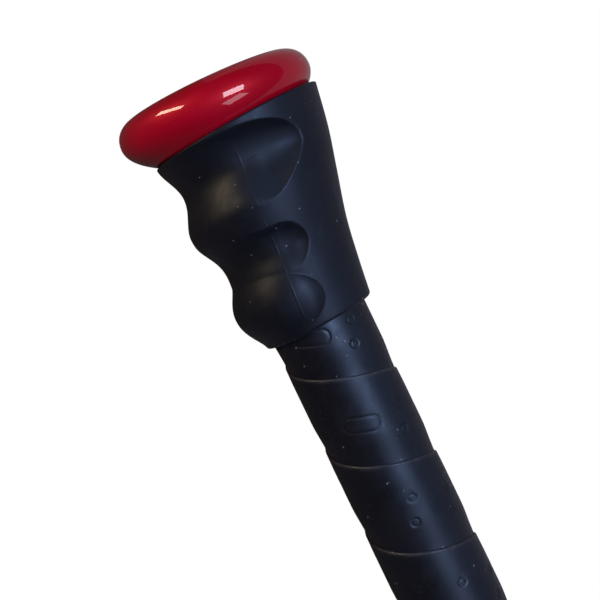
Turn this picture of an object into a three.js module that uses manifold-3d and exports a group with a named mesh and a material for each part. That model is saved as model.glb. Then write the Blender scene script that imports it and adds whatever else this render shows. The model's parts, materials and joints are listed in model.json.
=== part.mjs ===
// Weighted bat-type swing trainer: a hollow stick with a round knob, a taped handle, a moulded
// sleeve with finger grooves that slips over the tape, and a weight held inside the barrel.
// Millimetres. +X runs along the stick from the knob's flat face to the barrel's tip, +Z is up,
// and the finger grooves face -Y. Around the stick, angles are counted from +Y towards +Z.
import * as THREE from "three";
import * as BufferGeometryUtils from "three/addons/utils/BufferGeometryUtils.js";
import Module from "manifold-3d";

const wasm = await Module();
wasm.setup();

// ---- driving dimensions ----
const GAP = 0.3; // clearance kept between neighbouring pieces
const LENGTH = 787; // knob face to barrel tip, 31 inches
const HANDLE_R = 11.2; // bare handle tube, 7/8 inch across
const HANDLE_WALL = 2.2;
const BARREL_R = 21;
const BARREL_WALL = 1.9;
const TAPER = { start: 335, end: 500 };

const KNOB = {
  faceR: 19.5, // flat end face
  rimR: 25.6, // largest radius, 2 inches across
  rimX: 5.8,
  shoulderPower: 2.15, // how square the edge between face and rim is
  undersideX: 14.3, // where the rounded underside meets the concave neck
  undersideR: 17.65,
  neckX: 27,
  neckR: 12.6,
  neckFlare: 0.4, // how far the neck stands off its end radius halfway along
};
const PLUG = { headDepth: 3, length: 14 };

const TAPE = {
  start: 27.6,
  end: 308,
  outerR: 12.9,
  edgeDrop: 0.35, // each turn is thinner towards its edges
  pitch: 23.2, // advance for each turn
  firstEdge: 14.2, // where a turn's knob-side edge crosses the +Y side
  stepsPerTurn: 18,
};
const BAND = { overlap: 4, end: 322, outerR: 13.9, tailR: 12.7, stepEnd: 4, chamfer: 0.5 };

const SLEEVE = {
  // Each end: its middle, its lean towards the smooth back, and its top side's towards the knob.
  rim: { x: 12.1, lean: 1.5, topShift: 0.2 },
  tail: { x: 65.05, lean: 0.65, topShift: 0.8 },
  boreR: 13.3,
  cupGap: 0.4, // clearance to the knob's underside
  stepsAround: 48,
  stepsAlong: 34,
  innerSteps: 7,
  innerSpread: 0.45, // below 1, the inner wall's steps are closer together towards the rim
};
// The smooth back of the sleeve, as points (x, radius) from the cup's rim to the end.
const SLEEVE_BACK = [[10.6, 25.2], [22, 23.2], [32, 20.7], [44.3, 17.6], [55, 15.9], [65.2, 14.6]];
// The front of the sleeve before grooves and lobe are formed, on the -Y side.
const SLEEVE_FRONT = [[13.6, 20], [33.6, 19.8], [45.6, 17.5], [56.4, 15.9], [65.2, 14.5]];
// Finger grooves: oval dips that end at noseAngle on the side. The middle, and the reach towards
// the knob (up) and away from it (down), each have one value for the side and one for the front.
const GROOVES = [
  { middle: [21.5, 23.1], up: [8, 10], down: [11.2, 10.5], floorR: 17.1, noseAngle: 48 },
  { middle: [44, 45.6], up: [6, 11.2], down: [6.4, 10.8], floorR: 15.8, noseAngle: 69 },
];
// A dip's edge is crisp on the side and turns soft over this angle and the span after it.
const SOFT_UP = { from: 95, span: 70 };
const SOFT_DOWN = { from: 72, span: 33 };
const NOSE_TAPER = 0.3; // how much a dip's nose draws in away from the knob
const CRISP_POWER = 0.75;
const SOFT_POWER = 2.3;
// The last ridge stands proud of the cone as a lobe.
const LOBE = { middle: 57.2, up: 9, down: 7.7, height: 2.6, noseAngle: 75, fullAngle: 125 };
const LOBE_EDGE = { crisp: 0.8, soft: 1.5, from: 85, span: 30 };

const CAP = { flange: 3.2, skirt: 16, wall: 2, edge: 1.2, faceDepth: 4.2 };
const WEIGHT = { length: 20, padLength: 7, stopLength: 25 };
const BARREL_BORE_R = BARREL_R - BARREL_WALL;

// ---- materials ----
const paint = new THREE.MeshStandardMaterial({ color: 0xa0001a, roughness: 0.12, metalness: 0.3 });
const rubber = new THREE.MeshStandardMaterial({ color: 0x15171f, roughness: 0.55, metalness: 0 });
const gripTape = new THREE.MeshStandardMaterial({ color: 0x14161d, roughness: 0.45, metalness: 0 });
const plastic = new THREE.MeshStandardMaterial({ color: 0x101114, roughness: 0.4, metalness: 0 });
const steel = new THREE.MeshStandardMaterial({ color: 0x8d9196, roughness: 0.35, metalness: 1 });
const foam = new THREE.MeshStandardMaterial({ color: 0x4a4c52, roughness: 0.9, metalness: 0 });

// ---- helpers ----
const mix = (a, b, t) => a + (b - a) * t;
const smooth = (t) => THREE.MathUtils.smoothstep(t, 0, 1);

// A closed outline of (x, radius) points turned about the stick's axis.
function turned(points, segments) {
  const outline = points.map(([x, r]) => new THREE.Vector2(r, x));
  return new THREE.LatheGeometry(outline, segments).rotateZ(-Math.PI / 2);
}

// The same for a piece with a bore: the outline is closed on itself.
function turnedRing(points, segments) {
  return turned([...points, points[0]], segments);
}

function solid(geometry) {
  const bare = geometry.clone();
  bare.deleteAttribute("normal");
  bare.deleteAttribute("uv");
  const merged = BufferGeometryUtils.mergeVertices(bare, 1e-3);
  return new wasm.Manifold(
    new wasm.Mesh({
      numProp: 3,
      vertProperties: merged.attributes.position.array,
      triVerts: new Uint32Array(merged.index.array),
    }),
  );
}

function geometryOf(manifold) {
  const mesh = manifold.getMesh();
  const position = new THREE.BufferAttribute(new Float32Array(mesh.vertProperties), 3);
  return new THREE.BufferGeometry()
    .setAttribute("position", position)
    .setIndex(new THREE.BufferAttribute(new Uint32Array(mesh.triVerts), 1));
}

// A smooth radius along x through a few (x, radius) points.
function profileThrough(points) {
  const curve = new THREE.SplineCurve(points.map(([x, r]) => new THREE.Vector2(x, r)));
  const samples = curve.getPoints(200);
  return (x) => {
    const i = samples.findIndex((p) => p.x >= x);
    if (i < 0) return samples.at(-1).y;
    if (i === 0) return samples[0].y;
    const [a, b] = [samples[i - 1], samples[i]];
    return mix(a.y, b.y, (x - a.x) / (b.x - a.x));
  };
}

// ---- knob ----
// Rounded shoulder from the flat face to the rim.
function shoulderRadius(x) {
  const t = (KNOB.rimX - x) / KNOB.rimX;
  return KNOB.faceR + (KNOB.rimR - KNOB.faceR) * (1 - t ** KNOB.shoulderPower) ** (1 / KNOB.shoulderPower);
}

// Underside: a parabola away from the rim, then a concave neck that runs out along the tube.
function undersideCurves() {
  const fall = (KNOB.rimR - KNOB.undersideR) / (KNOB.undersideX - KNOB.rimX);
  const rim = new THREE.Vector2(KNOB.rimX, KNOB.rimR);
  const meet = new THREE.Vector2(KNOB.undersideX, KNOB.undersideR);
  const neck = new THREE.Vector2(KNOB.neckX, KNOB.neckR);
  const outer = new THREE.Vector2((KNOB.rimX + KNOB.undersideX) / 2, KNOB.rimR);
  const bendR = KNOB.neckR + KNOB.neckFlare;
  const inner = new THREE.Vector2(KNOB.undersideX + (KNOB.undersideR - bendR) / (2 * fall), bendR);
  return [
    new THREE.QuadraticBezierCurve(rim, outer, meet),
    new THREE.QuadraticBezierCurve(meet, inner, neck),
  ];
}

function undersideProfile() {
  return undersideCurves().flatMap((curve) => curve.getPoints(6).slice(1).map((p) => [p.x, p.y]));
}

function knobGeometry() {
  const boreR = HANDLE_R + GAP;
  const shoulder = [0, 0.08, 0.2, 0.36, 0.55, 0.77, 1].map((t) => {
    const x = KNOB.rimX * t;
    return [x, shoulderRadius(x)];
  });
  return turnedRing([[0, boreR], ...shoulder, ...undersideProfile(), [KNOB.neckX, boreR]], 56);
}

function knobPlugGeometry() {
  const headR = HANDLE_R;
  const stemR = HANDLE_R - HANDLE_WALL - GAP;
  const outline = [[0, 0], [0, headR], [PLUG.headDepth, headR], [PLUG.headDepth, stemR]];
  return turned([...outline, [PLUG.length, stemR], [PLUG.length, 0]], 32);
}

// ---- tube, cap and what the barrel holds ----
function tubeGeometry() {
  const start = PLUG.headDepth + GAP;
  const end = LENGTH - CAP.flange - GAP;
  const taperSteps = 8;
  const outer = [[start, HANDLE_R]];
  const inner = [[start, HANDLE_R - HANDLE_WALL]];
  for (let i = 0; i <= taperSteps; i++) {
    const t = i / taperSteps;
    const x = mix(TAPER.start, TAPER.end, t);
    outer.push([x, mix(HANDLE_R, BARREL_R, smooth(t))]);
    inner.push([x, mix(HANDLE_R - HANDLE_WALL, BARREL_BORE_R, smooth(t))]);
  }
  outer.push([end, BARREL_R]);
  inner.push([end, BARREL_BORE_R]);
  return turnedRing([...outer, ...inner.reverse()], 36);
}

function endCapGeometry() {
  const back = LENGTH - CAP.flange;
  const skirtR = BARREL_BORE_R - GAP;
  const hollowR = skirtR - CAP.wall;
  const outline = [
    [LENGTH - CAP.faceDepth, 0],
    [LENGTH - CAP.faceDepth, hollowR],
    [back - CAP.skirt, hollowR],
    [back - CAP.skirt, skirtR],
    [back, skirtR],
    [back, BARREL_R],
    [LENGTH - CAP.edge, BARREL_R],
    [LENGTH - CAP.edge * 0.3, BARREL_R - CAP.edge * 0.3],
    [LENGTH, BARREL_R - CAP.edge],
    [LENGTH, 0],
  ];
  return turned(outline, 36);
}

function barrelSlug(start, length) {
  const r = BARREL_BORE_R - GAP;
  return turned([[start, 0], [start, r], [start + length, r], [start + length, 0]], 36);
}

// ---- grip tape ----
// One strip wound round the handle, its section swept along a helix and then trimmed square.
function tapeStrip() {
  const width = TAPE.pitch - GAP;
  const innerR = HANDLE_R + GAP;
  const crownR = TAPE.outerR;
  const edgeR = crownR - TAPE.edgeDrop;
  const crown = [[width * 0.2, crownR], [width * 0.8, crownR]];
  const section = [[0, innerR], [0, edgeR], ...crown, [width, edgeR], [width, innerR]];
  const turns = Math.ceil((TAPE.end - TAPE.firstEdge) / TAPE.pitch) + 2;
  const steps = turns * TAPE.stepsPerTurn;
  const position = [];
  for (let i = 0; i <= steps; i++) {
    const turn = i / TAPE.stepsPerTurn;
    const angle = -turn * 2 * Math.PI;
    const edge = TAPE.firstEdge - TAPE.pitch + TAPE.pitch * turn;
    section.forEach(([x, r]) => position.push(edge + x, r * Math.cos(angle), r * Math.sin(angle)));
  }
  return cappedSkin(position, section.length, steps);
}

// Joins each closed section of points to the next one; the sections run clockwise about +X.
function skinIndex(perSection, steps) {
  const index = [];
  for (let i = 0; i < steps; i++) {
    for (let j = 0; j < perSection; j++) {
      const a = i * perSection + j;
      const b = i * perSection + ((j + 1) % perSection);
      index.push(a, b, a + perSection, b, b + perSection, a + perSection);
    }
  }
  return index;
}

function skin(position, index) {
  return new THREE.BufferGeometry()
    .setAttribute("position", new THREE.Float32BufferAttribute(position, 3))
    .setIndex(index);
}

// A swept strip with flat ends.
function cappedSkin(position, perSection, steps) {
  const index = skinIndex(perSection, steps);
  const last = steps * perSection;
  for (let j = 1; j < perSection - 1; j++) {
    index.push(0, j + 1, j, last, last + j, last + j + 1);
  }
  return skin(position, index);
}

function gripTapeGeometry() {
  const keepR = TAPE.outerR + 2;
  const keep = turned([[TAPE.start, 0], [TAPE.start, keepR], [TAPE.end, keepR], [TAPE.end, 0]], 24);
  return geometryOf(solid(tapeStrip()).intersect(solid(keep)));
}

function endBandGeometry() {
  const start = TAPE.end - BAND.overlap;
  const overTape = TAPE.outerR + GAP;
  const outline = [
    [start, overTape],
    [start, BAND.outerR - BAND.chamfer],
    [start + BAND.chamfer, BAND.outerR],
    [TAPE.end + 1, BAND.outerR],
    [TAPE.end + BAND.stepEnd, BAND.tailR],
    [BAND.end - BAND.chamfer, BAND.tailR],
    [BAND.end, BAND.tailR - BAND.chamfer],
    [BAND.end, HANDLE_R + GAP],
    [TAPE.end + GAP, HANDLE_R + GAP],
    [TAPE.end + GAP, overTape],
  ];
  return turnedRing(outline, 32);
}

// ---- finger sleeve ----
const sleeveBack = profileThrough(SLEEVE_BACK);
const sleeveFront = profileThrough(SLEEVE_FRONT);

// 0 at the start of a range of angles and 1 past its end.
const over = (range, angle) => smooth((angle - range.from) / range.span);

// Depth, 0 to 1, of an oval dip at (x, angle): 1 along its middle, 0 on its edge and outside.
function grooveDepth(groove, x, angle) {
  const front = smooth((angle - 90) / 90);
  const offset = x - mix(...groove.middle, front);
  const reach = offset < 0 ? mix(...groove.up, front) : mix(...groove.down, front);
  const taper = 1 + NOSE_TAPER * smooth(offset / reach);
  const nose = Math.max(0, (90 - angle) / (90 - groove.noseAngle)) * taper;
  const inside = Math.max(0, 1 - (offset / reach) ** 2 - nose ** 2);
  const softness = over(offset < 0 ? SOFT_UP : SOFT_DOWN, angle);
  return inside ** mix(CRISP_POWER, SOFT_POWER, softness);
}

function lobeHeight(x, angle) {
  const distance = x - LOBE.middle;
  const offset = distance / (distance < 0 ? LOBE.up : LOBE.down);
  const nose = Math.max(0, (LOBE.fullAngle - angle) / (LOBE.fullAngle - LOBE.noseAngle));
  const inside = Math.max(0, 1 - offset ** 2 - nose ** 2);
  return LOBE.height * inside ** mix(LOBE_EDGE.crisp, LOBE_EDGE.soft, over(LOBE_EDGE, angle));
}

// Outer radius of the sleeve at x, with angle in degrees from +Y; both halves are alike.
function sleeveRadius(x, angle) {
  const side = angle > 180 ? 360 - angle : angle;
  const cone = mix(sleeveFront(x), sleeveBack(x), (1 + Math.cos(THREE.MathUtils.degToRad(side))) / 2);
  const cut = GROOVES.reduce(
    (r, groove) => mix(r, Math.min(r, groove.floorR), grooveDepth(groove, x, side)),
    cone,
  );
  return cut + lobeHeight(x, side);
}

// Where an end of the sleeve lies at a turn in radians, before its top side is shifted.
const endOf = (side, turn) => side.x - side.lean * Math.cos(turn);

// Inner radius: the cup follows the knob's underside, then a plain bore runs over the tape.
function cupRadius(x) {
  const underside = undersideProfile();
  const i = underside.findIndex((p) => p[0] >= x);
  if (i < 1) return i === 0 ? underside[0][1] + SLEEVE.cupGap : SLEEVE.boreR;
  const [[x0, r0], [x1, r1]] = [underside[i - 1], underside[i]];
  return Math.max(SLEEVE.boreR, mix(r0, r1, (x - x0) / (x1 - x0)) + SLEEVE.cupGap);
}

// Closed loops of (x, r) at each angle, outer wall from rim to end and inner wall back again.
function sleeveGeometry() {
  const position = [];
  for (let j = 0; j <= SLEEVE.stepsAround; j++) {
    const angle = 360 - (360 * j) / SLEEVE.stepsAround;
    const turn = THREE.MathUtils.degToRad(angle);
    const straight = [endOf(SLEEVE.rim, turn), endOf(SLEEVE.tail, turn)];
    const rim = straight[0] - SLEEVE.rim.topShift * Math.sin(turn);
    const tail = straight[1] - SLEEVE.tail.topShift * Math.sin(turn);
    const loop = [];
    for (let i = 0; i <= SLEEVE.stepsAlong; i++) {
      const along = i / SLEEVE.stepsAlong;
      loop.push([mix(rim, tail, along), sleeveRadius(mix(...straight, along), angle)]);
    }
    for (let i = 0; i <= SLEEVE.innerSteps; i++) {
      const x = mix(tail, rim, (i / SLEEVE.innerSteps) ** SLEEVE.innerSpread);
      loop.push([x, cupRadius(x)]);
    }
    loop.forEach(([x, r]) => position.push(x, r * Math.cos(turn), r * Math.sin(turn)));
  }
  const perLoop = SLEEVE.stepsAlong + SLEEVE.innerSteps + 2;
  return skin(position, skinIndex(perLoop, SLEEVE.stepsAround));
}

// ---- assembly ----
function piece(name, geometry, material) {
  const mesh = new THREE.Mesh(geometry, material);
  mesh.name = name;
  return mesh;
}

const weightEnd = LENGTH - CAP.flange - CAP.skirt - GAP - WEIGHT.padLength - GAP;
const weightStart = weightEnd - WEIGHT.length;

const stick = new THREE.Group();
stick.add(
  piece("stick_tube", tubeGeometry(), paint),
  piece("knob", knobGeometry(), paint),
  piece("knob_plug", knobPlugGeometry(), plastic),
  piece("grip_tape", gripTapeGeometry(), gripTape),
  piece("grip_end_band", endBandGeometry(), rubber),
  piece("weight_stop", barrelSlug(weightStart - GAP - WEIGHT.stopLength, WEIGHT.stopLength), foam),
  piece("barrel_weight", barrelSlug(weightStart, WEIGHT.length), steel),
  piece("weight_pad", barrelSlug(weightEnd + GAP, WEIGHT.padLength), foam),
  piece("end_cap", endCapGeometry(), plastic),
);

const slidingSleeve = new THREE.Group();
slidingSleeve.add(piece("finger_sleeve", sleeveGeometry(), rubber));

const trainer = new THREE.Group();
trainer.add(stick, slidingSleeve);
export default trainer;
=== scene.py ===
"""Looks of the swing trainer stick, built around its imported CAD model.

+X runs along the stick from the knob's face, +Z is up and the finger grooves face -Y.
Shapes are worked out in millimetres and scaled to metres when a mesh is made.
Angles about the stick are counted from +Y towards +Z.
"""
import json
import math

import bmesh
import bpy
import numpy as np
from mathutils import Matrix, Vector

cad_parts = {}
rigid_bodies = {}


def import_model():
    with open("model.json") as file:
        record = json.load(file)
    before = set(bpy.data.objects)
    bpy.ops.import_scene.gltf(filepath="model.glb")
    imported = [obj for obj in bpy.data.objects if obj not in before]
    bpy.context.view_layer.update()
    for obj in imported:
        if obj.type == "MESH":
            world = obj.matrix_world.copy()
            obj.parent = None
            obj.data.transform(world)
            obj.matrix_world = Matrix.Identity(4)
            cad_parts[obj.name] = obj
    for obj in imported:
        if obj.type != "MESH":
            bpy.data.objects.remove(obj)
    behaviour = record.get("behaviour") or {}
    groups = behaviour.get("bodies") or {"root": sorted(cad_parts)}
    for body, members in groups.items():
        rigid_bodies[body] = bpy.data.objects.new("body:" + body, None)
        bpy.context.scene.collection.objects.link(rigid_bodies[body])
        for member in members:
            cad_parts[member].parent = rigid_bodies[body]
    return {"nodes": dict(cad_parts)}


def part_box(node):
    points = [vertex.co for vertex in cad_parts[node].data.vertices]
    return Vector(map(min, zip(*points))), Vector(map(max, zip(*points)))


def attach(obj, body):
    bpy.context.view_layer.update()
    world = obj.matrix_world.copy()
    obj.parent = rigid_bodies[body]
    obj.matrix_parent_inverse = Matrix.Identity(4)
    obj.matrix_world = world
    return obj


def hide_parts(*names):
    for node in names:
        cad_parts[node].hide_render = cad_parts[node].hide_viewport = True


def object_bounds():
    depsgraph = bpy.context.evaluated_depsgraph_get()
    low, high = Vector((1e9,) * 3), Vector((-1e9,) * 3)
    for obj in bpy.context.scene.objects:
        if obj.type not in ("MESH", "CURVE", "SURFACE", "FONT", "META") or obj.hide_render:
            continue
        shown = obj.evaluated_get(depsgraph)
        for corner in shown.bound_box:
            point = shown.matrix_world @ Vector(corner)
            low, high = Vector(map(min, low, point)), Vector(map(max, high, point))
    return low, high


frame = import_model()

CAD_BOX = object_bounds()
MM = 0.001


def box_mm(node):
    """The node's lowest and highest corner in millimetres."""
    low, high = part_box(node)
    return np.array(low) / MM, np.array(high) / MM


def ends(node):
    """Where the node starts and ends along the stick, and its outer radius."""
    low, high = box_mm(node)
    return low[0], high[0], high[2]


# ---- dimensions, taken from the frame where it holds them ----
_, KNOB_END, KNOB_R = ends("knob")
_, PLUG_END, PLUG_R = ends("knob_plug")
TUBE_START, TUBE_END, BARREL_R = ends("stick_tube")
TAPE_START, TAPE_END, TAPE_R = ends("grip_tape")
BAND_START, BAND_END, BAND_R = ends("grip_end_band")
CAP_START, CAP_END, CAP_R = ends("end_cap")

HANDLE_R = PLUG_R
HANDLE_WALL = 2.2
BARREL_WALL = 1.9
TAPER_START, TAPER_END = 335, 500
KNOB_FACE_R = 19.5
KNOB_RIM_X = 5.8
KNOB_SHOULDER_POWER = 2.15
KNOB_UNDERSIDE = (14.3, 17.65)
KNOB_NECK = (KNOB_END, 12.6)
KNOB_NECK_FLARE = 0.4  # how far the neck stands off its end radius halfway along
GAP = 0.3  # clearance kept between neighbouring pieces
FLUSH = 0.05  # pressed-in edges stop this far inside their piece's CAD box
CENTRE_R = 0.01  # an outline that reaches the axis stops this near it
CUP_GAP = 0.4
PARTING_START, PARTING_LEAN = 90.5, 0.2  # degrees, and degrees for each millimetre along
SLEEVE_BORE_R = 13.3
# Each end: its middle, its lean towards the smooth back, and its top side's towards the knob.
SLEEVE_RIM = (12.1, 1.5, 0.2)
SLEEVE_TAIL = (65.05, 0.65, 0.8)
TAPE_PITCH = 23.2
TAPE_FIRST_EDGE = 14.2
TAPE_OVERLAP = 2


# ---- mesh helpers ----
def mesh_piece(name, points, faces, body, slot, material, *nodes):
    """Makes a smooth-shaded piece from millimetre points that rides on body and stands for nodes."""
    mesh = bpy.data.meshes.new(name)
    mesh.from_pydata((np.asarray(points, float) * MM).tolist(), [], faces)
    mesh.validate()
    mesh.polygons.foreach_set("use_smooth", [True] * len(mesh.polygons))
    mesh.materials.append(material)
    piece = bpy.data.objects.new(name, mesh)
    bpy.context.scene.collection.objects.link(piece)
    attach(piece, body)
    if nodes:
        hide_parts(*nodes)
    return piece


def loop_faces(loops, per_loop, wrap=True):
    """Quads that join each closed loop of points to the next one, and the last to the first."""
    count = loops if wrap else loops - 1
    i, j = np.meshgrid(np.arange(count), np.arange(per_loop), indexing="ij")
    nxt, side = (i + 1) % loops, (j + 1) % per_loop
    corners = [i * per_loop + j, nxt * per_loop + j, nxt * per_loop + side, i * per_loop + side]
    return np.stack(corners, -1).reshape(-1, 4).tolist()


def around_axis(x, r, angle):
    """Points at distance x along the stick and r from its axis, at angle in radians."""
    return np.stack([x + 0 * angle, r * np.cos(angle), r * np.sin(angle)], -1)


def turned(name, outline, body, slot, material, *nodes, steps=160):
    """A closed (x, radius) outline turned about the stick's axis."""
    outline = np.array(outline, float)
    angles = np.linspace(0, 2 * math.pi, steps, endpoint=False)
    points = [around_axis(outline[:, 0], outline[:, 1], np.full(len(outline), a)) for a in angles]
    faces = loop_faces(steps, len(outline))
    return mesh_piece(name, np.concatenate(points), faces, body, slot, material, *nodes)


def rounded(outline, radius, steps=5):
    """The closed outline with each corner rounded, by at most radius."""
    corners = [np.array(p, float) for p in outline]
    result = []
    for k, corner in enumerate(corners):
        before, after = corners[k - 1], corners[(k + 1) % len(corners)]
        cut = min(radius, 0.4 * np.linalg.norm(before - corner), 0.4 * np.linalg.norm(after - corner))
        a = corner + (before - corner) / max(np.linalg.norm(before - corner), 1e-9) * cut
        b = corner + (after - corner) / max(np.linalg.norm(after - corner), 1e-9) * cut
        for t in np.linspace(0, 1, steps):
            result.append((1 - t) ** 2 * a + 2 * t * (1 - t) * corner + t * t * b)
    return result


def smooth(t):
    t = np.clip(t, 0, 1)
    return t * t * (3 - 2 * t)


def bezier(a, b, c, steps):
    t = np.linspace(0, 1, steps)[:, None]
    return (1 - t) ** 2 * np.array(a) + 2 * t * (1 - t) * np.array(b) + t * t * np.array(c)


def spline(points):
    """A smooth radius along x through (x, radius) points, as a function."""
    p = np.array(points, float)
    padded = np.vstack([2 * p[0] - p[1], p, 2 * p[-1] - p[-2]])
    t = np.linspace(0, 1, 60)[:, None]
    runs = []
    for k in range(1, len(p)):
        a, b, c, d = padded[k - 1 : k + 3]
        square = 2 * a - 5 * b + 4 * c - d
        cube = 3 * b - a - 3 * c + d
        runs.append(0.5 * (2 * b + (c - a) * t + square * t**2 + cube * t**3))
    curve = np.vstack(runs)
    return lambda x: np.interp(x, curve[:, 0], curve[:, 1])


# ---- materials ----
class Nodes:
    """Short names for building one procedural material."""

    def __init__(self, name):
        self.material = bpy.data.materials.new(name)
        self.material.use_nodes = True
        self.tree = self.material.node_tree
        self.shader = self.tree.nodes["Principled BSDF"]
        self.place = self.add("ShaderNodeTexCoord").outputs["Object"]

    def add(self, kind, inputs=None, **settings):
        node = self.tree.nodes.new(kind)
        for key, value in settings.items():
            setattr(node, key, value)
        for key, value in (inputs or {}).items():
            self.feed(node.inputs[key], value)
        return node

    def feed(self, socket, value):
        if isinstance(value, bpy.types.NodeSocket):
            self.tree.links.new(value, socket)
        else:
            socket.default_value = value

    def set(self, **values):
        for key, value in values.items():
            self.feed(self.shader.inputs[key.replace("_", " ")], value)

    def noise(self, per_metre, detail=3, roughness=0.5, stretch=None):
        place = self.place
        if stretch:
            mapping = self.add("ShaderNodeMapping", {"Vector": place, "Scale": stretch})
            place = mapping.outputs[0]
        inputs = {"Vector": place, "Scale": per_metre, "Detail": detail, "Roughness": roughness}
        return self.add("ShaderNodeTexNoise", inputs).outputs["Fac"]

    def specks(self, per_metre, size, share):
        """1 inside small dots scattered at per_metre, on that share of the cells."""
        cells = self.add("ShaderNodeTexVoronoi", {"Vector": self.place, "Scale": per_metre})
        near = self.math("LESS_THAN", cells.outputs["Distance"], size)
        chosen = self.add("ShaderNodeSeparateColor", {"Color": cells.outputs["Color"]})
        picked = self.math("LESS_THAN", chosen.outputs[0], share)
        return self.math("MULTIPLY", near, picked)

    def math(self, operation, a, b=0.0):
        return self.add("ShaderNodeMath", {0: a, 1: b}, operation=operation).outputs[0]

    def ramp(self, fac, low, high, start=0.0, end=1.0):
        """Maps fac from start..end to low..high."""
        inputs = {"Value": fac, "From Min": start, "From Max": end, "To Min": low, "To Max": high}
        return self.add("ShaderNodeMapRange", inputs).outputs[0]

    def blend(self, fac, a, b):
        node = self.add("ShaderNodeMix", data_type="RGBA")
        self.feed(node.inputs["Factor"], fac)
        self.feed(node.inputs[6], (*a, 1) if isinstance(a, tuple) else a)
        self.feed(node.inputs[7], (*b, 1) if isinstance(b, tuple) else b)
        return node.outputs[2]

    def bump(self, height, distance_mm, strength=1.0, below=None):
        inputs = {"Height": height, "Distance": distance_mm * MM, "Strength": strength}
        if below:
            inputs["Normal"] = below
        return self.add("ShaderNodeBump", inputs).outputs["Normal"]


def candy_paint():
    n = Nodes("candy_red_paint")
    depth = n.noise(60, detail=2)
    flake = n.noise(9000, detail=1)
    red = n.blend(n.ramp(depth, 0, 1, 0.3, 0.7), (0.33, 0.0, 0.011), (0.41, 0.0, 0.018))
    red = n.blend(n.ramp(flake, 0, 0.35, 0.55, 0.8), red, (0.90, 0.005, 0.05))
    dust = n.specks(420, 0.09, 0.10)
    n.set(Base_Color=n.blend(n.math("MULTIPLY", dust, 0.5), red, (0.75, 0.42, 0.42)))
    n.set(Metallic=0.2, Specular_IOR_Level=0.1, Roughness=n.ramp(flake, 0.42, 0.52))
    n.set(Coat_Weight=1.0, Coat_Roughness=0.04, Coat_IOR=1.46)
    n.set(Normal=n.bump(flake, 0.004, 0.25))
    return n.material


def moulded_rubber():
    n = Nodes("moulded_black_rubber")
    tone = n.noise(55, detail=4)
    grain = n.noise(2600, detail=3)
    scuffs = n.noise(240, detail=5, roughness=0.7, stretch=(1, 1, 3))
    dark = n.blend(n.ramp(tone, 0, 1, 0.35, 0.65), (0.0018, 0.0019, 0.0033), (0.0034, 0.0037, 0.0062))
    dark = n.blend(n.ramp(scuffs, 0, 0.5, 0.62, 0.75), dark, (0.010, 0.012, 0.019))
    dust = n.specks(600, 0.12, 0.14)
    n.set(Base_Color=n.blend(n.math("MULTIPLY", dust, 0.5), dark, (0.20, 0.22, 0.26)))
    n.set(Roughness=n.ramp(scuffs, 0.41, 0.55, 0.3, 0.7))
    n.set(Specular_IOR_Level=0.36, Specular_Tint=(0.46, 0.64, 1.0, 1))
    n.set(Sheen_Weight=0.03, Sheen_Roughness=0.5, Sheen_Tint=(0.55, 0.65, 1.0, 1))
    n.set(Normal=n.bump(grain, 0.02, 0.35, below=n.bump(tone, 0.12, 0.25)))
    return n.material


def stamped_tape():
    n = Nodes("stamped_grip_tape")
    tone = n.noise(70, detail=4)
    grain = n.noise(3200, detail=3)
    wear = n.noise(330, detail=5, roughness=0.65)
    # The strip's knob-side edge is painted lighter in patches: partly edge wear, partly a painted
    # highlight where the rolled edge catches the light.
    edge = n.add("ShaderNodeAttribute", attribute_name="edge_wear_and_highlight").outputs["Fac"]
    dark = n.blend(n.ramp(tone, 0, 1, 0.35, 0.65), (0.0026, 0.0027, 0.0044), (0.0046, 0.0049, 0.0080))
    dark = n.blend(n.math("MULTIPLY", edge, n.ramp(wear, 0.1, 0.7, 0.3, 0.7)), dark, (0.04, 0.042, 0.05))
    dust = n.specks(600, 0.12, 0.14)
    n.set(Base_Color=n.blend(n.math("MULTIPLY", dust, 0.5), dark, (0.25, 0.27, 0.32)))
    n.set(Roughness=n.ramp(wear, 0.36, 0.50, 0.3, 0.7))
    n.set(Specular_IOR_Level=0.42, Specular_Tint=(0.46, 0.64, 1.0, 1))
    n.set(Sheen_Weight=0.03, Sheen_Roughness=0.5, Sheen_Tint=(0.55, 0.65, 1.0, 1))
    n.set(Normal=n.bump(grain, 0.02, 0.3, below=n.bump(wear, 0.05, 0.3)))
    return n.material


def satin_plastic():
    n = Nodes("satin_black_plastic")
    grain = n.noise(1800, detail=3)
    tone = n.noise(90, detail=3)
    n.set(Base_Color=n.blend(tone, (0.010, 0.010, 0.012), (0.018, 0.018, 0.021)))
    n.set(Roughness=n.ramp(grain, 0.36, 0.52, 0.3, 0.7))
    n.set(Normal=n.bump(grain, 0.03, 0.4))
    return n.material


def closed_cell_foam():
    n = Nodes("closed_cell_foam")
    cells = n.add("ShaderNodeTexVoronoi", {"Vector": n.place, "Scale": 900}).outputs["Distance"]
    n.set(Base_Color=n.blend(cells, (0.05, 0.05, 0.055), (0.10, 0.10, 0.11)), Roughness=0.9)
    n.set(Normal=n.bump(cells, 0.3, 0.6))
    return n.material


def turned_steel():
    n = Nodes("turned_steel")
    rings = n.noise(400, detail=2, stretch=(12, 1, 1))
    n.set(Base_Color=n.blend(rings, (0.42, 0.43, 0.45), (0.55, 0.56, 0.58)), Metallic=1.0)
    n.set(Roughness=n.ramp(rings, 0.25, 0.42), Normal=n.bump(rings, 0.02, 0.4))
    return n.material


PAINT = candy_paint()
RUBBER = moulded_rubber()
TAPE = stamped_tape()
PLASTIC = satin_plastic()
FOAM = closed_cell_foam()
STEEL = turned_steel()


# ---- camera ----
VIEW_WIDTH = 150  # width of the view at the stick's axis
CAMERA_FOOT = (27, -1.9)  # the point straight below the camera
VIEW_CENTRE = (58.12, -1.9)  # what the middle of the picture shows
CAMERA_HEIGHT = 255
STICK_TILT = 25.63  # the stick leans this far from the picture's upright
SENSOR = 36


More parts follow.
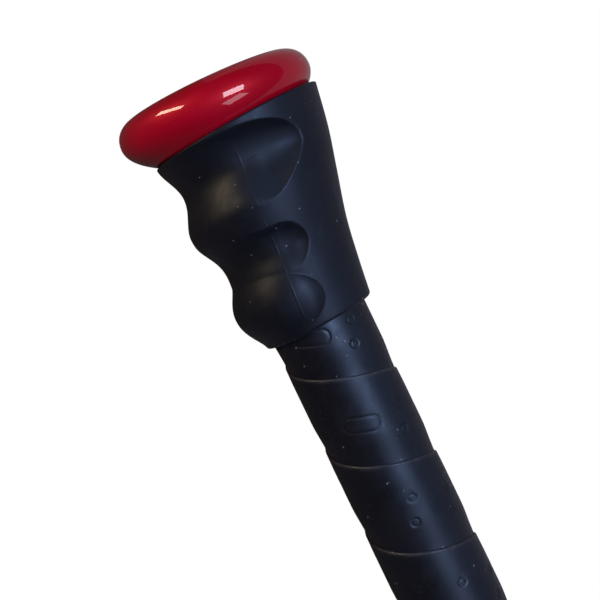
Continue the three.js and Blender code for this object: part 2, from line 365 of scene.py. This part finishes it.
def make_camera():
    """Above its foot, and swung sideways so that the picture needs no sideways shift."""
    data = bpy.data.cameras.new("camera")
    camera = bpy.data.objects.new("camera", data)
    bpy.context.scene.collection.objects.link(camera)
    turn = math.radians(90 - STICK_TILT)
    camera.location = Vector((*CAMERA_FOOT, CAMERA_HEIGHT)) * MM
    offset = np.subtract(VIEW_CENTRE, CAMERA_FOOT)
    swing = math.atan2(offset @ (math.cos(turn), math.sin(turn)), CAMERA_HEIGHT)
    camera.rotation_euler = (0, -swing, turn)
    data.sensor_width = SENSOR
    data.lens = SENSOR * CAMERA_HEIGHT / VIEW_WIDTH / math.cos(swing) ** 1.5
    data.shift_y = offset @ (-math.sin(turn), math.cos(turn)) / VIEW_WIDTH
    data.clip_start, data.clip_end = 0.01, 20
    bpy.context.scene.camera = camera


make_camera()


# ---- knob ----
def knob_shoulder(steps):
    """From the flat face round to the rim."""
    turn = np.linspace(math.pi / 2, 0, steps)
    reach = 2 / KNOB_SHOULDER_POWER
    x = KNOB_RIM_X * (1 - np.sin(turn) ** reach)
    r = KNOB_FACE_R + (KNOB_R - KNOB_FACE_R) * np.cos(turn) ** reach
    return np.stack([x, r], -1)


def knob_underside(steps):
    """From the rim down a parabola, then along the concave neck."""
    (meet_x, meet_r), (neck_x, neck_r) = KNOB_UNDERSIDE, KNOB_NECK
    outer = bezier((KNOB_RIM_X, KNOB_R), ((KNOB_RIM_X + meet_x) / 2, KNOB_R), (meet_x, meet_r), steps)
    fall = (KNOB_R - meet_r) / (meet_x - KNOB_RIM_X)
    end_r = neck_r + KNOB_NECK_FLARE
    bend = (meet_x + (meet_r - end_r) / (2 * fall), end_r)
    return np.vstack([outer, bezier((meet_x, meet_r), bend, (neck_x, neck_r), steps)[1:]])


def make_knob():
    bore_r = HANDLE_R + GAP
    face = [(0, bore_r + 0.5), (0.12, bore_r + 0.1), (0.4, bore_r)]
    outline = [*reversed(face), *knob_shoulder(72), *knob_underside(48)[1:], (KNOB_END, bore_r)]
    turned("knob_shell", outline, "stick", "red_paint", PAINT, "knob", steps=480)


def make_plug():
    """Flush cap in the knob's end: a shallow dish with a raised rim."""
    head, head_r, stem_r = 3, PLUG_R - FLUSH, HANDLE_R - HANDLE_WALL - GAP
    rim = [(0, PLUG_R - 1.6), (0, head_r), (head, head_r), (head, stem_r), (PLUG_END, stem_r)]
    dish = [(PLUG_END, CENTRE_R), (0.7, CENTRE_R), (0.7, PLUG_R - 3), (0.45, PLUG_R - 2.2)]
    outline = [*rounded(rim, 0.35), *dish]
    turned("knob_end_plug", outline, "stick", "black_plastic", PLASTIC, "knob_plug")


# ---- finger sleeve ----
SLEEVE_BACK = spline([(10.6, 25.2), (22, 23.2), (32, 20.7), (44.3, 17.6), (55, 15.9), (65.2, 14.6)])
SLEEVE_FRONT = spline([(13.6, 20), (33.6, 19.8), (45.6, 17.5), (56.4, 15.9), (65.2, 14.5)])
# Grooves: middle, reach towards the knob and away from it, each on the side and at the front.
GROOVES = [
    {"middle": (21.5, 23.1), "up": (8.0, 10.0), "down": (11.2, 10.5), "floor": 17.1, "nose": 48},
    {"middle": (44.0, 45.6), "up": (6.0, 11.2), "down": (6.4, 10.8), "floor": 15.8, "nose": 69},
]
# The edge of a dip is crisp on the side and turns soft over (from, span) degrees.
CRISP_POWER, SOFT_POWER = 0.75, 2.3
SOFT_UP, SOFT_DOWN = (95, 70), (72, 33)
NOSE_TAPER = 0.3  # how much a dip's nose draws in away from the knob
LOBE = {"middle": 57.2, "up": 9.0, "down": 7.7, "height": 2.6, "nose": 75, "full": 125}
LOBE_CRISP, LOBE_SOFT, LOBE_SOFTENS = 0.8, 1.5, (85, 30)
PARTING_SPAN = (17, 63)
PARTING_BREAK = 34  # the line fades out over the first ridge
PARTING_R = 18  # radius at which its width is measured
PARTING_HEIGHT, PARTING_WIDTH = 0.045, 0.18
RIM_EDGE, TAIL_EDGE = 0.35, 0.9  # rounding of the two outer edges


def mix(a, b, t):
    return a + (b - a) * t


def softens(side, start, span):
    """0 up to the start angle and 1 past the span after it."""
    return smooth((side - start) / span)


def groove_depth(groove, x, side):
    """1 along the middle of an oval dip, 0 on its edge: crisp at the nose, soft at the front."""
    front = smooth((side - 90) / 90)
    offset = x - mix(*groove["middle"], front)
    reach = np.where(offset < 0, mix(*groove["up"], front), mix(*groove["down"], front))
    taper = 1 + NOSE_TAPER * smooth(offset / reach)
    nose = np.maximum(0, (90 - side) / (90 - groove["nose"])) * taper
    inside = np.maximum(0, 1 - (offset / reach) ** 2 - nose**2)
    softening = np.where(offset < 0, softens(side, *SOFT_UP), softens(side, *SOFT_DOWN))
    return inside ** mix(CRISP_POWER, SOFT_POWER, softening)


def sleeve_radius(x, angle):
    """Outer radius of the sleeve; angle in degrees from +Y, the same on both halves."""
    side = np.where(angle > 180, 360 - angle, angle)
    radius = mix(SLEEVE_FRONT(x), SLEEVE_BACK(x), (1 + np.cos(np.radians(side))) / 2)
    for groove in GROOVES:
        depth = groove_depth(groove, x, side)
        radius = mix(radius, np.minimum(radius, groove["floor"]), depth)
    offset = x - LOBE["middle"]
    offset = offset / np.where(offset < 0, LOBE["up"], LOBE["down"])
    nose = np.maximum(0, (LOBE["full"] - side) / (LOBE["full"] - LOBE["nose"]))
    inside = np.maximum(0, 1 - offset**2 - nose**2)
    power = mix(LOBE_CRISP, LOBE_SOFT, softens(side, *LOBE_SOFTENS))
    return radius + LOBE["height"] * inside**power


def parting_line(x, angle):
    """Height of the thin mould line down each side, broken over the first ridge."""
    side = np.where(angle > 180, 360 - angle, angle)
    start, end = PARTING_SPAN
    across = (side - PARTING_START - PARTING_LEAN * (x - start)) * math.pi / 180 * PARTING_R
    broken = smooth(1.5 - abs(x - PARTING_BREAK) / 2)
    along = smooth((x - start) / 4) * smooth((end - x) / 3) * (1 - broken)
    return PARTING_HEIGHT * np.exp(-((across / PARTING_WIDTH) ** 2)) * along


def cup_radius(x):
    """The cup follows the knob's underside, then a plain bore runs over the tape."""
    under = knob_underside(60)
    return np.maximum(SLEEVE_BORE_R, np.interp(x, under[:, 0], under[:, 1]) + CUP_GAP)


def sleeve_angles():
    """Angles about the stick, closer together where the mould line runs."""
    fine = np.arange(88, 105, 0.3)
    return np.concatenate([np.arange(-87, 88, 1.0), fine, np.arange(105, 256), 360 - fine[::-1]]) % 360


def sleeve_steps():
    """Shares of the way from rim to tail, closer together at both rounded edges."""
    rim, tail = np.linspace(0, 0.03, 9)[:-1], np.linspace(0.97, 1, 13)[1:]
    return np.concatenate([rim, np.linspace(0.03, 0.97, 216), tail])


def make_sleeve():
    angles = sleeve_angles()
    along = sleeve_steps()
    sides = (SLEEVE_RIM, SLEEVE_TAIL)
    loops = []
    for angle in angles:
        turn = math.radians(angle)
        straight = [middle - lean * math.cos(turn) for middle, lean, _ in sides]
        straight_x = mix(*straight, along)
        around = np.full_like(along, angle)
        r = sleeve_radius(straight_x, around) + parting_line(straight_x, around)
        rim, tail = (end - side[2] * math.sin(turn) for end, side in zip(straight, sides))
        x = mix(rim, tail, along)
        for distance, edge in ((x - rim, RIM_EDGE), (tail - x, TAIL_EDGE)):
            r -= edge * (1 - np.sqrt(1 - np.clip(1 - distance / edge, 0, 1) ** 2))
        inner_x = mix(tail, rim, np.linspace(0, 1, 50) ** 0.6)
        xs, rs = np.concatenate([x, inner_x]), np.concatenate([r, cup_radius(inner_x)])
        loops.append(around_axis(xs, rs, np.full_like(xs, turn)))
    faces = loop_faces(len(angles), len(loops[0]))
    points = np.concatenate(loops)
    mesh_piece("grooved_sleeve", points, faces, "sleeve", "black_rubber", RUBBER, "finger_sleeve")


# ---- grip tape ----
STAMP_ROWS = (9.3, 15.4)  # distance of each row from the strip's knob-side edge
STAMP_R = 1.15
STAMP_STEP = 46.3  # degrees of winding between stamped pairs
STAMP_START = 11.3  # and before the first pair
STAMP_SLANT = 0.29  # a pair lies square to the strip, which runs at a slant round the stick
STAMP_DEPTH = 0.2
BARS, BAR_REPEAT = (13, 21), 32  # these pairs, out of every 32, give way to a plain stamped bar
BAR_HALF_LENGTH, BAR_HALF_WIDTH, BAR_LINE = 4.5, 1.9, 0.32
TAPE_SPACING = 0.28  # distance between points along the winding
TAPE_TRIM = 0.01  # the cut ends stay this far inside the CAD tape's


def tape_surface(w):
    """Outer radius across the strip, from its knob-side edge, which lies on the turn before."""
    rise = TAPE_R - 0.28 + 0.2 * smooth(w / 0.3) + 0.08 * smooth((w - 0.3) / 4)
    fall = 0.5 * smooth((w - TAPE_PITCH * 0.62) / (TAPE_PITCH * 0.38))
    return rise - fall


def stamp_depth(w, wind):
    """Depth of the stamped pattern at w across the strip and wind degrees along it."""
    arc = np.radians(wind - STAMP_START) * TAPE_R + STAMP_SLANT * (w - np.mean(STAMP_ROWS))
    step = math.radians(STAMP_STEP) * TAPE_R
    number = np.round(arc / step)
    offset = arc - number * step
    plain = np.isin(np.mod(number, BAR_REPEAT), BARS)
    depth = np.zeros_like(w)
    for row in STAMP_ROWS:
        d = np.hypot(w - row, offset) / STAMP_R
        dish = smooth((1.1 - d) / 0.2) - 0.65 * smooth((0.78 - d) / 0.26)
        dot = 0.3 * smooth((0.32 - d) / 0.16)
        depth = np.maximum(depth, np.where(plain, 0, dish + dot))
    past_end = np.maximum(0, abs(offset) + BAR_HALF_WIDTH - BAR_HALF_LENGTH)
    bar = abs(np.hypot(w - np.mean(STAMP_ROWS), past_end) - BAR_HALF_WIDTH) / BAR_LINE
    return STAMP_DEPTH * np.maximum(depth, np.where(plain, 0.7 * smooth(1.3 - bar), 0))


def make_tape():
    """One strip wound left-handed, each turn lying on the edge of the turn before."""
    fine = np.arange(8.2, 17, 0.25)
    top = np.concatenate([[0, 0.08, 0.18, 0.3, 0.45, 0.7, 1.2, 2.5, 4.5, 6.5, 7.6], fine,
                          [17.8, 19.5, 21.2, 22.4, 23.1, 23.6, 24.4, TAPE_PITCH + TAPE_OVERLAP]])
    turns = (TAPE_END - TAPE_FIRST_EDGE) / TAPE_PITCH + 2
    steps = int(turns * 2 * math.pi * TAPE_R / TAPE_SPACING)
    wind = np.linspace(-360, turns * 360 - 360, steps)
    under = np.array([TAPE_PITCH + TAPE_OVERLAP, TAPE_OVERLAP + 0.8, TAPE_OVERLAP + 0.2, 0])
    base = HANDLE_R + 0.2
    under_r = np.array([base, base, TAPE_R - 0.49, TAPE_R - 0.47])
    w, place = np.meshgrid(top, wind)
    top_r = tape_surface(w) - stamp_depth(w, place)
    rows_w = np.concatenate([w, np.tile(under, (steps, 1))], 1)
    rows_r = np.concatenate([top_r, np.tile(under_r, (steps, 1))], 1)
    angle = -np.radians(wind)[:, None] + 0 * rows_w
    x = TAPE_FIRST_EDGE + TAPE_PITCH * wind[:, None] / 360 + rows_w
    points = np.stack([x, rows_r * np.cos(angle), rows_r * np.sin(angle)], -1)
    per_loop = rows_w.shape[1]
    faces = [f[::-1] for f in loop_faces(steps, per_loop, wrap=False)]
    points = points.reshape(-1, 3)
    tape = mesh_piece("wound_tape", points, faces, "stick", "grip_tape", TAPE, "grip_tape")
    # Where the edge colour goes: along each turn's rolled knob-side edge. It is partly edge wear and
    # partly a painted highlight.
    edge_wear_and_highlight_mask = np.exp(-((rows_w - 0.35) / 0.35) ** 2)
    attribute = tape.data.attributes.new("edge_wear_and_highlight", "FLOAT", "POINT")
    attribute.data.foreach_set("value", edge_wear_and_highlight_mask.ravel().astype(np.float32))
    trim_tape(tape)


def trim_tape(tape):
    """Cuts the wound strip square at both ends."""
    work = bmesh.new()
    work.from_mesh(tape.data)
    for x, direction in ((TAPE_START + TAPE_TRIM, -1), (TAPE_END - TAPE_TRIM, 1)):
        geometry = work.verts[:] + work.edges[:] + work.faces[:]
        cut = bmesh.ops.bisect_plane(work, geom=geometry, plane_co=(x * MM, 0, 0),
                                     plane_no=(direction, 0, 0), clear_outer=True)
        edges = [e for e in cut["geom_cut"] if isinstance(e, bmesh.types.BMEdge)]
        bmesh.ops.edgenet_fill(work, edges=edges)
    work.to_mesh(tape.data)
    work.free()


# ---- band, tube, cap and what the barrel holds ----
def make_band():
    over_tape, over_tube = TAPE_R + GAP, HANDLE_R + GAP
    outline = [(BAND_START, over_tape), (BAND_START, BAND_R - 0.25), (BAND_START + 0.8, BAND_R),
               (TAPE_END + 1, BAND_R), (TAPE_END + 4, HANDLE_R + 1.5), (BAND_END - 0.6, HANDLE_R + 1.5),
               (BAND_END, HANDLE_R + 0.9), (BAND_END, over_tube), (TAPE_END + GAP, over_tube),
               (TAPE_END + GAP, over_tape)]
    turned("grip_band", rounded(outline, 0.5), "stick", "black_rubber", RUBBER, "grip_end_band")


def make_tube():
    t = np.linspace(0, 1, 60)
    taper_x = mix(TAPER_START, TAPER_END, t)
    outer = np.stack([taper_x, mix(HANDLE_R, BARREL_R, smooth(t))], -1)
    inner = np.stack([taper_x, mix(HANDLE_R - HANDLE_WALL, BARREL_R - BARREL_WALL, smooth(t))], -1)
    start, end, bore_r = TUBE_START, TUBE_END, BARREL_R - BARREL_WALL
    edge = bezier((-0.5, 0), (0, 0), (0, -0.5), 6)
    outer_edge = edge + (end, BARREL_R)
    inner_edge = edge * (1, -1) + (end, bore_r)
    lip = [(end - 2, BARREL_R), *outer_edge, *inner_edge[::-1], (end - 2, bore_r)]
    butt = [(start, HANDLE_R - HANDLE_WALL), (start, HANDLE_R), (start + 1, HANDLE_R)]
    outline = [*butt, *outer, *lip, *inner[::-1]]
    turned("barrel_and_handle", outline, "stick", "red_paint", PAINT, "stick_tube", steps=192)


def make_cap():
    flange, hollow_r = 3.2, BARREL_R - BARREL_WALL - 2.3
    back, skirt_r = CAP_END - flange, BARREL_R - BARREL_WALL - GAP
    face = [(CAP_END - 0.8, CENTRE_R), (CAP_END - 0.8, CAP_R - 6.5), (CAP_END, CAP_R - 5.2)]
    shoulder = [(CAP_END, CAP_R - 1.2), (CAP_END - 0.35, CAP_R - 0.35), (CAP_END - 1.2, CAP_R)]
    rear = [(back, CAP_R), (back, skirt_r), (CAP_START, skirt_r), (CAP_START, hollow_r),
            (back - 1, hollow_r), (back - 1, CENTRE_R)]
    outline = rounded([*face, *shoulder, *rear], 0.4)
    turned("barrel_cap", outline, "stick", "black_plastic", PLASTIC, "end_cap")


def dress_inner_pieces():
    """The weight and its foams stay as CAD made them, inside the barrel."""
    for node, material in (("barrel_weight", STEEL), ("weight_stop", FOAM), ("weight_pad", FOAM)):
        mesh = frame["nodes"][node].data
        mesh.materials.clear()
        mesh.materials.append(material)


# ---- floor and light ----
FLOOR_Z = CAD_BOX[0][2] - 0.0002


def plain_sheet(name, low, high, z, glow):
    """A flat black stage rectangle, in metres, that gives off an even light."""
    material = bpy.data.materials.new(name)
    material.use_nodes = True
    shader = material.node_tree.nodes["Principled BSDF"]
    shader.inputs["Base Color"].default_value = (0, 0, 0, 1)
    shader.inputs["Roughness"].default_value = 0.9
    shader.inputs["Specular IOR Level"].default_value = 0.1
    shader.inputs["Emission Color"].default_value = (*glow, 1)
    shader.inputs["Emission Strength"].default_value = 1
    (x0, y0), (x1, y1) = low, high
    mesh = bpy.data.meshes.new(name)
    mesh.from_pydata([(x0, y0, z), (x1, y0, z), (x1, y1, z), (x0, y1, z)], [], [(0, 1, 2, 3)])
    mesh.materials.append(material)
    sheet = bpy.data.objects.new(name, mesh)
    bpy.context.scene.collection.objects.link(sheet)
    return sheet


def make_floor():
    """A white floor for the camera, and the dimmer tones that glossy surfaces see in its place."""
    floor = plain_sheet("floor", (-4, -4), (4, 4), FLOOR_Z, (1, 1, 1))
    floor.visible_diffuse = floor.visible_glossy = False
    for name, low, high, glow in (
        ("floor_tone_left", (-2, -2), (2.5, 0), (0.05, 0.04, 0.04)),
        ("floor_tone_middle", (-2, 0), (2.5, 0.025), (0.12, 0.11, 0.12)),
        ("floor_tone_right", (-2, 0.025), (2.5, 2), (0.25, 0.23, 0.25)),
    ):
        sheet = plain_sheet(name, low, high, FLOOR_Z - 0.001, glow)
        sheet.visible_camera = sheet.visible_shadow = sheet.visible_diffuse = False


def area_light(name, direction, distance, size, power, colour):
    """A rectangle of light that faces the knob end of the stick from a direction."""
    data = bpy.data.lights.new(name, "AREA")
    data.shape = "RECTANGLE"
    data.size, data.size_y = size
    data.energy, data.color = power, colour
    light = bpy.data.objects.new(name, data)
    bpy.context.scene.collection.objects.link(light)
    target = Vector((0.05, 0, 0))
    towards = Vector(direction).normalized()
    turn = towards.to_track_quat("Z", "Y").to_matrix().to_4x4()
    light.matrix_world = Matrix.Translation(target + towards * distance) @ turn
    return light


def pieces(painted):
    """A collection of the painted pieces, or of all the others, for a light to be linked to."""
    collection = bpy.data.collections.new("painted_pieces" if painted else "matt_pieces")
    for piece in bpy.context.scene.objects:
        if piece.type == "MESH" and (PAINT.name in piece.data.materials) == painted:
            collection.objects.link(piece)
    return collection


def make_lights():
    bpy.context.scene.view_settings.view_transform = "Standard"
    world = bpy.data.worlds.new("room")
    world.use_nodes = True
    world.node_tree.nodes["Background"].inputs[0].default_value = (0.55, 0.64, 0.85, 1)
    world.node_tree.nodes["Background"].inputs[1].default_value = 0.04
    bpy.context.scene.world = world
    area_light("window", (0.03, 0.40, 0.90), 1.0, (0.42, 0.42), 8, (0.84, 0.88, 1.0))
    area_light("window_lower", (0.62, 0.33, 0.66), 1.0, (0.42, 0.34), 1.6, (0.95, 0.9, 1.0))
    far_wall = area_light("far_wall", (-0.80, 0.25, 0.45), 1.2, (1.2, 0.8), 4.6, (0.62, 0.74, 1.0))
    side_fill = area_light("side_fill", (0.10, 0.97, 0.22), 1.2, (1.0, 0.8), 1.5, (0.80, 0.82, 1.0))
    lamp_glow = area_light("lamp_glow", (-0.60, -0.60, 0.45), 0.9, (0.13, 0.60), 6, (1.0, 0.62, 0.28))
    matt = pieces(painted=False)
    for light in (far_wall, side_fill, lamp_glow):
        light.light_linking.receiver_collection = matt
    lamp = area_light("lamp", (-0.60, -0.60, 0.45), 0.9, (0.13, 0.60), 4.6, (1.0, 0.84, 0.60))
    lamp.light_linking.receiver_collection = pieces(painted=True)


make_knob()
make_plug()
make_sleeve()
make_tape()
make_band()
make_tube()
make_cap()
dress_inner_pieces()
make_floor()
make_lights()
